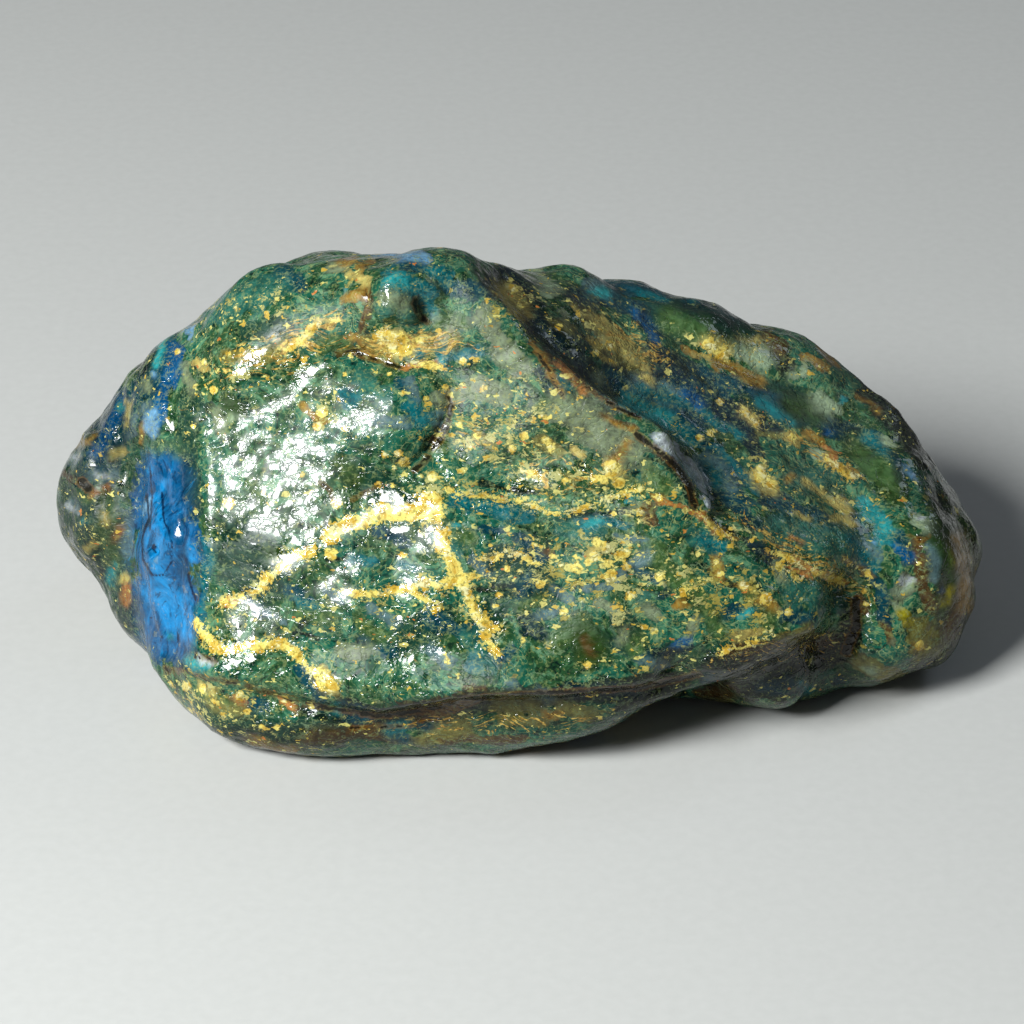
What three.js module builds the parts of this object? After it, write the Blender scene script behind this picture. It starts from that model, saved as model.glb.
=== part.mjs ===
// A lump of rough blue amber: one solid, water-worn piece with its crust on, lying on its flattest side.
// Millimetres, +Z up. X runs along the lump from its blunt nose to its low tail, and -Y is its big worn face.
// The origin is under the middle of the lump's box, on the surface that it rests on.

import * as THREE from 'three';
import { ImprovedNoise } from 'three/addons/math/ImprovedNoise.js';
import { mergeVertices } from 'three/addons/utils/BufferGeometryUtils.js';

// How the skin is made: a ball's directions are sent out from a short spine inside the lump.
const SKIN_DETAIL = 19;           // an icosahedron's edge is cut into this many and one more
const SPINE_MIDDLE = new THREE.Vector3(1, 1, 17);
const SPINE_HALF = new THREE.Vector3(22, 1, -5);
const REACH = 60;                 // further from the spine than any skin
const HALVINGS = 20;              // steps that close in on the skin once it is passed
const WORN = 1.2;                 // how softly two flats meet
const GROWN = 1.5;                // how softly lobes and roofs run into each other

// The place that the big face is seen from: height above it in degrees, distance, and the point looked at.
// Forms on the face are placed as seen from there, in millimetres right and up of that point.
const VIEW_ELEVATION = THREE.MathUtils.degToRad(30);
const VIEW_DISTANCE = 427;
const VIEW_POINT = new THREE.Vector3(0, 0, 16);

// The worn flats that bound the lump, each an outward normal and a point on it.
const SIDES = {
  face: [[0, -0.83, 0.555], [-3, -26.5, 10.5]],
  shine: [[-0.3, -0.76, 0.575], [-12.1, -12.9, 31]],
  lowFace: [[-0.2, -0.9, 0.36], [-22, -20, 16.9]],
  cheek: [[0.34, -0.87, 0.37], [25, -18.2, 18.8]],
  corner: [[0.85, -0.5, 0.1], [36, -13, 12]],
  end: [[0.936, 0.176, 0.306], [45.4, 8, 12.8]],
  farEnd: [[0.722, 0.346, 0.599], [41.2, 13, 21.4]],
  underEnd: [[0.9, -0.21, -0.38], [48, 3, 5.8]],
  farTail: [[0.35, 0.87, 0.35], [26, 20, 14]],
  farHead: [[-0.05, 0.95, 0.3], [-12, 25, 18]],
  farNose: [[-0.72, 0.69, 0.1], [-36, 17, 15]],
  noseTip: [[-0.97, 0.1, 0.15], [-44.3, 6, 15]],
  blueSide: [[-0.84, -0.48, 0.24], [-31, -11.2, 24]],
  underNose: [[-0.805, -0.297, -0.514], [-40.4, -5, 7.3]],
  underBlue: [[-0.55, -0.42, -0.72], [-34.7, -17.9, 3]],
  chin: [[0, -0.84, -0.54], [-12.6, -27.3, 10.2]],
  foot: [[0, -0.5, -0.866], [-15, -21.8, -0.3]],
  rise: [[0.357, -0.467, -0.809], [10.7, -18.2, 3.5]],
  under: [[-0.02, 0.03, -1], [0, 0, -0.7]],
  farFoot: [[0, 0.75, -0.66], [0, 19, 3]],
  farHeel: [[0.05, 0.35, -0.94], [0, 14, 0.6]],
};

// The two roofs: the high head, whose flank ends in a lip, and the low tail that slopes away from under it.
const ROOFS = {
  head: {
    crown: [[-0.1, 0.05, 1], [-10.9, 2, 44.2]],
    flank: [[0.70, 0.14, 0.70], [12.2, -12, 32.6]],
    shoulder: [[-0.64, -0.29, 0.71], [-31, 1, 35.2]],
    farCrown: [[0, 0.66, 0.75], [-11, 5, 43.2]],
    farShoulder: [[-0.5, 0.5, 0.7], [-32, 8, 33.8]],
    upperNose: [[-0.87, 0.1, 0.5], [-43.3, 7, 23]],
  },
  tail: {
    slope: [[0.484, -0.18, 0.856], [21.8, -17, 22.8]],
    farSlope: [[0.3, 0.6, 0.74], [19, 16, 29.7]],
    rear: [[-0.8, 0, 0.6], [3, 0, 35]],
  },
};

// Lobes grown on the block: middle and radii.
const LOBES = {
  nose: [[-39.2, 5, 14.5], [5.6, 7, 8]],
  tip: [[38, 1.5, 8.7], [8.7, 11, 9.2]],
  underTail: [[33, -2, 7], [12, 12, 7.5]],
  nearFoot: [[24, -7, 6], [9, 9, 6.5]],
  crest: [[13, 13, 26], [10, 7.5, 7]],
  crestMiddle: [[27, 14, 21], [8, 7, 6.8]],
  crestEnd: [[34, 11, 15.5], [7, 6, 6.5]],
  farHigh: [[-17, 15, 29], [11, 7, 8]],
  farLow: [[5, 19, 11], [13, 6, 8]],
  farBend: [[-29, 15, 12], [9, 8, 7]],
  farTip: [[29, 15, 8], [8, 6, 6]],
};

// Low forms on the big face. A dome is [across, up, radius, other radius, turn in degrees, height].
const DOMES = {
  knob: [-11.3, 21.5, 4.2, 3.0, 20, 2.6],
  pebble: [-13.5, 9.5, 7.0, 5.0, 30, 1.0],
  brow: [-24.0, 16.5, 9.0, 3.0, 35, 0.9],
  heart: [-6.0, -4.0, 8.0, 6.0, 0, 0.5],
  cheekBone: [10.0, 2.0, 8.0, 5.0, -30, 0.5],
  window: [7.5, -12.5, 4.5, 3.5, 30, 0.7],
  button: [-35.3, -2.5, 2.2, 4.0, 0, 0.7],
  noseHigh: [-40.5, 7.5, 3.0, 2.4, 40, 1.2],
  noseMiddle: [-43.0, 3.0, 2.6, 2.2, 0, 0.8],
  noseLow: [-41.5, -2.5, 3.0, 2.6, 0, 1.0],
  tipHigh: [39.5, 5.0, 4.0, 3.0, -40, 1.2],
  tipMiddle: [41.5, -3.5, 3.5, 4.5, 0, 0.9],
  tipLow: [36.0, -13.5, 4.0, 3.0, 0, 1.0],
};

// Lips and grooves follow a path of [across, up] points, with a width and a height, below 0 for a groove.
const PATHS = {
  lip: [[[4, 14.9], [6.5, 12.5], [10.3, 9.8], [13.9, 7.7], [17, 4.8], [18.9, 0.6]], 1.4, 1.1],
  underLip: [[[0, 24], [3.4, 18.6], [7.6, 14.2], [11.8, 11.6], [15.8, 9.4], [19.4, 6.0], [21.6, 1.2]],
    2.1, -1.9],
  seam: [[[18.5, 0.5], [23, -3.2], [29, -5.5], [35, -7.5]], 1.6, -0.8],
  fold: [[[-17, 15.8], [-13, 15.0], [-9, 15.2], [-5, 16.2], [-1, 15.6]], 1.5, -1.2],
  crack: [[[-6.3, 12], [-7.0, 8], [-9.0, 4.8], [-11.5, 3.8]], 2.0, -1.2],
  moat: [[[-8.0, 22.5], [-7.6, 20.0], [-9.0, 17.8]], 1.3, -1.6],
  ledge: [[[-34, -14.8], [-28, -16.3], [-20, -18.2], [-12, -19.4], [-3, -18], [5, -17.8], [13, -16.6],
    [19, -15], [26, -12.6], [31, -10.6]], 1.8, 0.6],
  underLedge: [[[-26, -18.2], [-18, -20.4], [-10, -21.4], [-2, -20.2], [6, -19.8], [14, -18.4]], 1.5, -1.7],
  recess: [[[35.5, -7.8], [34.5, -11.5], [32.0, -15.5]], 2.4, -3.4],
  notch: [[[17.5, -19.5], [17.0, -16.8]], 2.4, -3.8],
  shelf: [[[-1, 2.2], [4, 0.2], [9, 1.2], [13, 3]], 1.4, -0.9],
};

// Swellings between creases, all over the skin: how wide they are and how high.
const SWELLINGS = [
  [15, 2.2],
  [8, 1.4],
  [4.2, 0.7],
];
const MEAN_SWELLING = 0.22;       // the share of that height that is taken off again, to keep the lump's size
const CALM = [-23.5, 3.5, 12, 9, 10, 0.7];    // a dome of calm: the share of the swellings that it takes off
const FADE = 0.35;                // the face's forms fade out as the skin turns edge-on to the viewer

function lobeDistance(point, [middle, radii]) {
  const [x, y, z] = middle.map((value, axis) => point.getComponent(axis) - value);
  const [a, b, c] = radii;
  const near = Math.hypot(x / a, y / b, z / c);
  const slope = Math.hypot(x / a ** 2, y / b ** 2, z / c ** 2);
  return slope === 0 ? -Math.min(a, b, c) : near * (near - 1) / slope;
}

function flatDistances(point, flats) {
  return Object.values(flats).map(([normal, place]) => {
    const over = normal.reduce((sum, part, axis) => sum + part * (point.getComponent(axis) - place[axis]), 0);
    return over / Math.hypot(...normal);
  });
}

// The greatest of several distances, with its corners rounded; the least is the greatest turned about.
function softMost(distances, softness) {
  const most = Math.max(...distances);
  const sum = distances.reduce((total, distance) => total + Math.exp((distance - most) / softness), 0);
  return most + softness * Math.log(sum);
}

function softLeast(distances, softness) {
  return -softMost(distances.map((distance) => -distance), softness);
}

function bodyDistance(point) {
  const roofs = Object.values(ROOFS).map((flats) => softMost(flatDistances(point, flats), WORN));
  const block = softMost([...flatDistances(point, SIDES), softLeast(roofs, GROWN)], WORN);
  const lobes = Object.values(LOBES).map((lobe) => lobeDistance(point, lobe));
  return softLeast([block, ...lobes], GROWN);
}

function skinPoint(direction) {
  const start = SPINE_MIDDLE.clone().addScaledVector(SPINE_HALF, direction.x);
  const at = (far) => start.clone().addScaledVector(direction, far);
  let outside = REACH;
  let inside = REACH;
  while (inside > 0 && bodyDistance(at(inside)) > 0) {
    outside = inside;
    inside -= 1;
  }
  for (let step = 0; step < HALVINGS; step += 1) {
    const middle = (inside + outside) / 2;
    if (bodyDistance(at(middle)) > 0) outside = middle;
    else inside = middle;
  }
  return at(inside);
}

const toViewer = new THREE.Vector3(0, -Math.cos(VIEW_ELEVATION), Math.sin(VIEW_ELEVATION));
const viewUp = new THREE.Vector3(0, Math.sin(VIEW_ELEVATION), Math.cos(VIEW_ELEVATION));

// Where a point is seen: millimetres right and up of the point looked at.
function seenPlace(point) {
  const offset = point.clone().sub(VIEW_POINT);
  const scale = VIEW_DISTANCE / (VIEW_DISTANCE - offset.dot(toViewer));
  return new THREE.Vector2(offset.x * scale, offset.dot(viewUp) * scale);
}

function domeHeight(place, [across, up, radius, otherRadius, turn, height]) {
  const offset = place.clone().sub(new THREE.Vector2(across, up));
  offset.rotateAround(new THREE.Vector2(), -THREE.MathUtils.degToRad(turn));
  const near = Math.hypot(offset.x / radius, offset.y / otherRadius);
  return height * Math.exp(-(near ** 3));
}

function pathHeight(place, [points, width, height]) {
  let nearest = Infinity;
  for (let i = 1; i < points.length; i += 1) {
    const start = new THREE.Vector2(...points[i - 1]);
    const along = new THREE.Vector2(...points[i]).sub(start);
    const share = THREE.MathUtils.clamp(place.clone().sub(start).dot(along) / along.lengthSq(), 0, 1);
    nearest = Math.min(nearest, place.distanceTo(start.addScaledVector(along, share)));
  }
  return height * Math.exp(-((nearest / width) ** 2));
}

const noise = new ImprovedNoise();

function swellingHeight(point) {
  return SWELLINGS.reduce((sum, [size, height], layer) => {
    const swelling = noise.noise(point.x / size + 7 * layer, point.y / size, point.z / size);
    return sum + height * (Math.abs(swelling) - MEAN_SWELLING);
  }, 0);
}

// How far the skin stands out from the body at a point.
function reliefHeight(point, normal) {
  const seen = THREE.MathUtils.smoothstep(normal.dot(toViewer), 0, FADE);
  const place = seenPlace(point);
  const domes = Object.values(DOMES).reduce((sum, dome) => sum + domeHeight(place, dome), 0);
  const paths = Object.values(PATHS).reduce((sum, path) => sum + pathHeight(place, path), 0);
  return seen * (domes + paths) + (1 - seen * domeHeight(place, CALM)) * swellingHeight(point);
}

function makeSkin() {
  const ball = new THREE.IcosahedronGeometry(1, SKIN_DETAIL);
  ball.deleteAttribute('normal');
  ball.deleteAttribute('uv');
  const skin = mergeVertices(ball, 1e-5);
  const places = skin.attributes.position;
  const point = new THREE.Vector3();
  for (let i = 0; i < places.count; i += 1) {
    point.fromBufferAttribute(places, i).normalize();
    places.setXYZ(i, ...skinPoint(point));
  }
  skin.computeVertexNormals();
  const normal = new THREE.Vector3();
  for (let i = 0; i < places.count; i += 1) {
    point.fromBufferAttribute(places, i);
    normal.fromBufferAttribute(skin.attributes.normal, i);
    point.addScaledVector(normal, reliefHeight(point, normal));
    places.setXYZ(i, point.x, point.y, Math.max(point.z, 0));
  }
  skin.computeBoundingBox();
  const middle = skin.boundingBox.getCenter(new THREE.Vector3());
  skin.translate(-middle.x, -middle.y, 0);
  skin.computeVertexNormals();
  return skin;
}

// The crust is deep green, mottled with gold and blue, and glossy as if wet.
const amber = new THREE.MeshStandardMaterial({ color: 0x3c5a44, roughness: 0.2, metalness: 0 });
const lump = new THREE.Mesh(makeSkin(), amber);
lump.name = 'amber_lump';

const group = new THREE.Group();
group.add(lump);
export default group;
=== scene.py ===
# %% [markdown]
# # A lump of rough blue amber
#
# The real thing is a piece of fossil resin as it was dug up: one worn lump, about as long as a hand is wide,
# with its crust on. The crust is a sandy green, full of gold crumbs, yellow veins and blue patches, and it is as
# glossy as if it were wet. Everything here is made in metres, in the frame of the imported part.

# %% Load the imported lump
import math

import bpy
import numpy as np
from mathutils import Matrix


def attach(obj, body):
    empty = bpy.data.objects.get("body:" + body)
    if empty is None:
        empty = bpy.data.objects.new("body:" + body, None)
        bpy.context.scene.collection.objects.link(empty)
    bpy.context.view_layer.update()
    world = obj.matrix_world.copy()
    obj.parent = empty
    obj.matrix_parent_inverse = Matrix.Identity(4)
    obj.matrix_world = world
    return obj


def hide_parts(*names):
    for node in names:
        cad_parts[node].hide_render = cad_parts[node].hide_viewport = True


MM = 0.001

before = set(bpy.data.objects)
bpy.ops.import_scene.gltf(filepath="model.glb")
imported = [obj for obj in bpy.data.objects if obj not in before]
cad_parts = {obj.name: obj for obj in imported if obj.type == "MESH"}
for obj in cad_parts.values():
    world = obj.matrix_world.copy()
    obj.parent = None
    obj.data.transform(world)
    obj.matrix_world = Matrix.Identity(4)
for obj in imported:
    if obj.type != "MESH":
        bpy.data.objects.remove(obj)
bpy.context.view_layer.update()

# %% [markdown]
# ## The camera
#
# The photograph looks down on the lump from about 30 degrees, with a long lens, so that near and far parts have
# almost the same scale. The camera comes first, because the marks on the crust are placed by where the
# photograph shows them: `seen_at` gives the place of a point in the photograph, in its own pixels.

# %% Place the camera
PHOTO_PIXELS = 1024
PIXEL = 0.1 * MM                                    # what one pixel spans at the point looked at
CAMERA_ELEVATION = math.radians(30)
LENS, SENSOR = 150.0, 36.0
LOOKED_AT = np.array([-0.7682, -0.3080, 16.0]) * MM
CAMERA_DISTANCE = PHOTO_PIXELS * PIXEL * LENS / SENSOR


def view_axes(azimuth=0.0, elevation=CAMERA_ELEVATION):
    """Right, up and back of a camera that stands at an azimuth, counted anticlockwise from the lump's face."""
    right = np.array([math.cos(azimuth), math.sin(azimuth), 0.0])
    back = np.array([math.sin(azimuth) * math.cos(elevation), -math.cos(azimuth) * math.cos(elevation),
                     math.sin(elevation)])
    return right, np.cross(back, right), back


def seen_at(points, azimuth=0.0, elevation=CAMERA_ELEVATION):
    """Where points are seen, in pixels from the photograph's top left corner."""
    right, up, back = view_axes(azimuth, elevation)
    offset = points - LOOKED_AT
    scale = CAMERA_DISTANCE / (CAMERA_DISTANCE - offset @ back) / PIXEL
    middle = PHOTO_PIXELS / 2
    return np.stack([middle + offset @ right * scale, middle - offset @ up * scale], axis=1)


right, up, back = view_axes()
bpy.ops.object.camera_add(location=LOOKED_AT + back * CAMERA_DISTANCE,
                          rotation=(math.pi / 2 - CAMERA_ELEVATION, 0, 0))
camera = bpy.context.object
camera.data.lens = LENS
camera.data.sensor_width = SENSOR
camera.data.clip_start = 0.01
bpy.context.scene.camera = camera
print("camera", [round(value, 4) for value in camera.location], "looks at", LOOKED_AT)

# %% [markdown]
# ## The crust
#
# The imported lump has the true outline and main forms, in 8,000 flat triangles. A real crust also has small lumps,
# pits and flow lines down to a third of a millimetre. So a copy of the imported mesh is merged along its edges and
# subdivided twice. Sculpting by hand would also do, but what is written down can be made again.

# %% Copy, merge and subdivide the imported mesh
bpy.ops.object.select_all(action="DESELECT")
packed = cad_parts["amber_lump"]
packed.select_set(True)
bpy.context.view_layer.objects.active = packed
bpy.ops.object.duplicate()
crust = bpy.context.object
crust.name = "amber_crust"
bpy.ops.object.mode_set(mode="EDIT")
bpy.ops.mesh.select_all(action="SELECT")
bpy.ops.mesh.remove_doubles(threshold=0.01 * MM)
bpy.ops.object.mode_set(mode="OBJECT")
print("merged", len(crust.data.vertices), "points", len(crust.data.polygons), "faces")

finer = crust.modifiers.new("finer", "SUBSURF")
finer.levels = finer.render_levels = 2
bpy.ops.object.modifier_apply(modifier=finer.name)
bpy.ops.object.shade_smooth()
print("subdivided", len(crust.data.vertices), "points", len(crust.data.polygons), "faces")


# %% Read and move the crust's points
def points_of(piece):
    places = np.empty(len(piece.data.vertices) * 3, dtype=np.float32)
    piece.data.vertices.foreach_get("co", places)
    return places.reshape(-1, 3).astype(float)


def normals_of(piece):
    normals = np.empty(len(piece.data.vertices) * 3, dtype=np.float32)
    piece.data.vertex_normals.foreach_get("vector", normals)
    return normals.reshape(-1, 3).astype(float)


def raise_points(piece, heights):
    """Moves each point out along its normal, and never through the ground."""
    places = points_of(piece) + normals_of(piece) * heights[:, None]
    places[:, 2] = np.maximum(places[:, 2], 0.0)
    piece.data.vertices.foreach_set("co", places.astype(np.float32).ravel())
    piece.data.update()


# %% [markdown]
# Low forms are drawn as strokes over the photograph. Each stroke is a short path of pixels, with a width and a
# height in millimetres: a ridge stands out, a groove has a height below zero. A stroke only works on the skin that
# faces the camera, and fades out where the skin turns away.

# %% Measure how far each point lies from a stroke
def smoothstep(values, low, high):
    share = np.clip((values - low) / (high - low), 0.0, 1.0)
    return share * share * (3.0 - 2.0 * share)


def path_distance(pixels, path):
    """How far each seen point lies from a path, in pixels."""
    path = np.array(path, dtype=float)
    nearest = np.linalg.norm(pixels - path[0], axis=1)
    for start, end in zip(path[:-1], path[1:]):
        along = end - start
        share = np.clip((pixels - start) @ along / (along @ along), 0.0, 1.0)
        nearest = np.minimum(nearest, np.linalg.norm(pixels - start - share[:, None] * along, axis=1))
    return nearest


def spot_distance(pixels, middle, radii, turn=0.0):
    """How far out of an oval each seen point lies: 0 in its middle, 1 on its edge."""
    offset = pixels - np.array(middle, dtype=float)
    cosine, sine = math.cos(math.radians(turn)), math.sin(math.radians(turn))
    across = offset[:, 0] * cosine - offset[:, 1] * sine
    along = offset[:, 0] * sine + offset[:, 1] * cosine
    return np.hypot(across / radii[0], along / radii[1])


pixels = seen_at(points_of(crust))
faces_camera = smoothstep(normals_of(crust) @ back, 0.02, 0.3)

# %% Ridges and grooves of the face
PIXELS_PER_MM = MM / PIXEL
LIP = [(478, 268), (500, 300), (530, 342), (560, 376), (600, 410), (640, 432), (680, 466), (700, 508)]
BEHIND_LIP = [(505, 280), (540, 328), (578, 360), (616, 390), (662, 414), (698, 448), (718, 500)]
LEDGE = [(160, 660), (220, 674), (300, 692), (380, 706), (470, 690), (560, 690), (640, 680), (690, 666), (760, 642),
         (830, 620), (868, 592)]
RELIEF_STROKES = {                                  # path, width and height in millimetres
    "lip": ([(570, 376), (606, 404), (650, 426), (684, 454), (702, 482), (707, 512)], 0.5, 0.6),
    "behind lip": (BEHIND_LIP, 0.9, -0.6),
    "crack": ([(452, 388), (447, 412), (436, 436), (420, 458), (408, 468)], 0.35, -0.6),
    "upper crack": ([(338, 352), (360, 352), (385, 361), (408, 366), (436, 358)], 0.35, -0.5),
    "face crack": ([(430, 445), (440, 470), (455, 492)], 0.4, -0.35),
    "knob arc": ([(386, 286), (402, 277), (420, 281), (436, 294)], 0.6, 0.8),
    "hollow by the knob": ([(366, 288), (366, 310), (374, 326), (400, 328), (420, 326)], 0.4, -0.5),
    "flow line": ([(452, 494), (490, 502), (530, 511), (560, 510), (600, 502), (640, 488)], 0.3, 0.22),
    "flow line above": ([(480, 486), (520, 499), (560, 498), (610, 486)], 0.3, -0.2),
    "flow line below": ([(470, 508), (520, 521), (570, 522), (620, 512), (660, 500)], 0.35, -0.2),
    "ledge": (LEDGE, 0.6, 0.3),
    "under ledge": ([(200, 684), (300, 706), (380, 719), (470, 703), (560, 702), (640, 693), (700, 680)], 0.6, -0.45),
    "belly fold": ([(240, 742), (300, 728), (380, 726), (460, 716), (540, 712)], 0.5, -0.3),
    "strata": ([(706, 512), (745, 548), (800, 572), (860, 590)], 0.4, -0.3),
    "strata above": ([(712, 498), (760, 532), (815, 556), (870, 574)], 0.4, -0.22),
    "strata below": ([(690, 520), (735, 566), (790, 592), (840, 604)], 0.4, -0.25),
    "blue edge": ([(205, 430), (208, 500), (204, 580), (198, 640)], 0.5, 0.2),
    "blue fold": ([(178, 470), (182, 520), (180, 580), (184, 630)], 0.35, -0.2),
    "blue fold left": ([(140, 450), (138, 520), (146, 600), (158, 640)], 0.35, -0.25),
    "nose fold": ([(100, 400), (92, 450), (104, 500), (100, 560)], 0.5, -0.4),
    "nose fold right": ([(122, 380), (118, 430), (126, 480)], 0.4, -0.3),
    "head fold": ([(176, 330), (168, 380), (174, 430)], 0.5, -0.3),
    "recess": ([(868, 590), (856, 630), (838, 668)], 0.8, -0.5),
    "tail fold": ([(905, 470), (918, 520), (912, 570), (900, 610)], 0.6, -0.35),
    "tail fold right": ([(938, 480), (950, 540), (946, 600)], 0.5, -0.25),
    "crest fold": ([(650, 318), (690, 345), (750, 372), (810, 392)], 0.7, -0.4),
}
RELIEF_SPOTS = {                                    # middle, radii in pixels, turn, height in millimetres
    "knob": ((396, 298), (13, 9), 0, 0.6),
    "left bead": ((386, 311), (9, 8), 0, 0.6),
    "right bead": ((411, 315), (11, 8), 0, 0.5),
    "small knob": ((354, 293), (8, 6), 0, 0.5),
    "drop": ((425, 310), (8, 13), 20, -1.1),
    "mound": ((440, 272), (14, 9), 0, 0.5),
    "tan mound": ((358, 272), (14, 10), 0, 0.4),
    "button rim": ((158, 545), (15, 26), 0, 0.5),
    "button": ((158, 545), (9, 18), 0, -0.3),
    "button dot": ((156, 551), (3.5, 4.5), 0, -0.5),
    "nose pit": ((85, 482), (7, 8), 0, -0.7),
    "nose bead": ((92, 438), (8, 8), 0, 0.5),
    "pebble": ((392, 418), (52, 40), 30, 0.3),
    "gold seed": ((608, 478), (16, 13), 30, 0.3),
    "vein blob": ((443, 508), (15, 13), 0, 0.2),
    "tail bead": ((920, 528), (10, 9), 0, 0.5),
    "yellow bead": ((905, 615), (12, 11), 0, 0.4),
    "crest bead": ((845, 400), (14, 10), 30, 0.4),
    "lower bead": ((330, 682), (12, 14), 20, 0.25),
}

heights = np.zeros(len(pixels))
for path, width, height in RELIEF_STROKES.values():
    far = path_distance(pixels, path) / PIXELS_PER_MM
    heights += height * np.exp(-(far / width) ** 2)
for middle, radii, turn, height in RELIEF_SPOTS.values():
    heights += height * np.exp(-spot_distance(pixels, middle, radii, turn) ** 3)
raise_points(crust, heights * faces_camera * MM)
print("relief from", round(heights.min(), 2), "to", round(heights.max(), 2), "mm")

# %% [markdown]
# Over all of that lies a fine roughness that no one would draw: small lumps, creases and pits. Displace modifiers
# with procedural textures do this all round at once, so the hidden side gets the same skin.

# %% Roughen the whole skin
SKIN_TEXTURES = [                                   # kind, size of its lumps and height, in millimetres
    ("CLOUDS", 3.0, 0.3),
    ("VORONOI", 2.2, 0.16),
    ("CLOUDS", 1.1, 0.12),
]

bpy.context.view_layer.objects.active = crust
for index, (kind, size, height) in enumerate(SKIN_TEXTURES):
    texture = bpy.data.textures.new(f"skin {index}", kind)
    texture.noise_scale = size * MM
    displace = crust.modifiers.new(texture.name, "DISPLACE")
    displace.texture = texture
    displace.texture_coords = "LOCAL"
    displace.strength = height * MM
    bpy.ops.object.modifier_apply(modifier=displace.name)
places = points_of(crust)
places[:, 2] = np.maximum(places[:, 2], 0.0)
crust.data.vertices.foreach_set("co", places.astype(np.float32).ravel())
crust.data.update()
print("crust box", places.min(axis=0), places.max(axis=0))

# %% [markdown]
# ## Where the colours lie
#
# On the real lump the colours lie in patches that flow into each other. They are painted as a painter would do it,
# from dark to light: each wash is a brush stroke over the photograph, with half its width and its path in pixels.
# The palette gives the colours as they look in full light. Noise pushes the strokes about, so that their edges are
# ragged, and the material breaks them up further.

# %% The palette, and colours from screen values
FULL_LIGHT = 2.3                                    # how much brighter than its own colour a lit patch looks


def colour(red, green, blue):
    """A colour from its screen values, 0 to 255."""
    return tuple((value / 255) ** 2.2 for value in (red, green, blue)) + (1.0,)


PALETTE = {
    "umber": (32, 28, 20), "black": (10, 14, 16), "navy": (16, 40, 60), "petrol": (12, 72, 92),
    "forest": (34, 70, 56), "olive": (56, 80, 34), "moss": (78, 110, 60), "sea": (54, 118, 104),
    "sand": (138, 150, 118), "slate": (104, 134, 140), "khaki": (142, 134, 70), "brown": (100, 70, 36),
    "teal": (6, 118, 128), "blue": (0, 98, 160), "turquoise": (52, 172, 176), "azure": (0, 148, 226),
    "ochre": (180, 136, 54), "orange": (226, 148, 76), "straw": (226, 202, 112), "mint": (182, 206, 168),
    "pale_blue_and_painted_reflection": (130, 186, 230), "lemon": (176, 164, 24), "white_and_painted_highlight": (232, 242, 248),
}

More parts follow.
